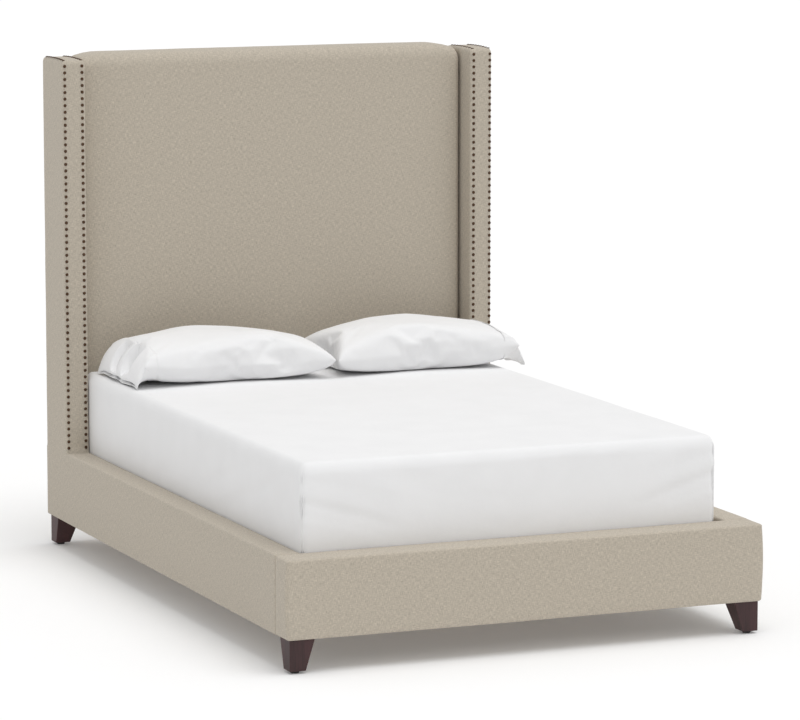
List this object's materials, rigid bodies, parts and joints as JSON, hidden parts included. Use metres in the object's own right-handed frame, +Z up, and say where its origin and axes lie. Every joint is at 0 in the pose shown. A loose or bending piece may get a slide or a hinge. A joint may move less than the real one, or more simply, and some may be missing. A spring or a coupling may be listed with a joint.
{
  "type": "upholstered headboard bed",
  "caption": "Bed with a tall padded headboard between studded side wings, padded fabric rails on short tapered wood legs, a slatted deck, a mattress in a fitted sheet and pillows.",
  "frame": {"origin": "centre of the bed's footprint, on the floor", "axes": "+Z up, +Y from the footboard towards the headboard, +X to the right seen from the foot of the bed"},
  "size_m": [1.565, 2.29, 1.685],
  "materials": {
    "linen": "matte",
    "white_cotton": "matte",
    "ticking": "matte",
    "foam": "matte",
    "espresso_wood": "satin",
    "pine": "matte",
    "plywood": "matte",
    "zinc_steel": "satin",
    "nail_bronze": "satin",
    "nylon": "matte"
  },
  "bodies": {
    "bed_frame": {"beam_hanger_foot": "zinc_steel", "beam_hanger_head": "zinc_steel", "centre_beam": "pine", "centre_leg_foot": "pine", "centre_leg_head": "pine", "footboard_board": "pine", "footboard_cover": "linen", "headboard_back_cover": "linen", "headboard_bottom_rail": "pine", "headboard_cover": "linen", "headboard_foam": "foam", "headboard_middle_rail": "pine", "headboard_plywood": "plywood", "headboard_post_left": "pine", "headboard_post_right": "pine", "headboard_top_rail": "pine", "leg_bolt_foot_left": "zinc_steel", "leg_bolt_foot_right": "zinc_steel", "leg_bolt_head_left": "zinc_steel", "leg_bolt_head_right": "zinc_steel", "leg_foot_left": "espresso_wood", "leg_foot_right": "espresso_wood", "leg_glide_foot_left": "nylon", "leg_glide_foot_right": "nylon", "leg_glide_head_left": "nylon", "leg_glide_head_right": "nylon", "leg_head_left": "espresso_wood", "leg_head_right": "espresso_wood", "rail_bracket_foot_left": "zinc_steel", "rail_bracket_foot_right": "zinc_steel", "rail_bracket_head_left": "zinc_steel", "rail_bracket_head_right": "zinc_steel", "side_rail_left_board": "pine", "side_rail_left_cover": "linen", "side_rail_right_board": "pine", "side_rail_right_cover": "linen", "slat_01": "pine", "slat_02": "pine", "slat_03": "pine", "slat_04": "pine", "slat_05": "pine", "slat_06": "pine", "slat_07": "pine", "slat_08": "pine", "slat_09": "pine", "slat_10": "pine", "slat_ledge_left": "pine", "slat_ledge_right": "pine", "wing_left_core": "plywood", "wing_left_cover": "linen", "wing_right_core": "plywood", "wing_right_cover": "linen"},
    "mattress_body": {"mattress": "ticking", "fitted_sheet": "white_cotton"},
    "pillow_left_body": {"pillowcase_left": "white_cotton", "pillow_insert_left": "ticking"},
    "pillow_right_body": {"pillowcase_right": "white_cotton", "pillow_insert_right": "ticking"},
    "leveler_foot_body": {"leveler_foot": "nylon"},
    "leveler_head_body": {"leveler_head": "nylon"}
  },
  "joints": [
    {"name": "mattress_lift", "type": "slide", "parent": "bed_frame", "child": "mattress_body", "axis": [0, 0, 1], "range_m": [0, 0.35]},
    {"name": "pillow_left_lift", "type": "slide", "parent": "mattress_body", "child": "pillow_left_body", "axis": [0, 0, 1], "range_m": [0, 0.3]},
    {"name": "pillow_right_lift", "type": "slide", "parent": "mattress_body", "child": "pillow_right_body", "axis": [0, 0, 1], "range_m": [0, 0.3]},
    {"name": "leveler_foot_screw", "type": "slide", "parent": "bed_frame", "child": "leveler_foot_body", "axis": [0, 0, -1], "range_m": [0, 0.012]},
    {"name": "leveler_head_screw", "type": "slide", "parent": "bed_frame", "child": "leveler_head_body", "axis": [0, 0, -1], "range_m": [0, 0.012]}
  ]
}
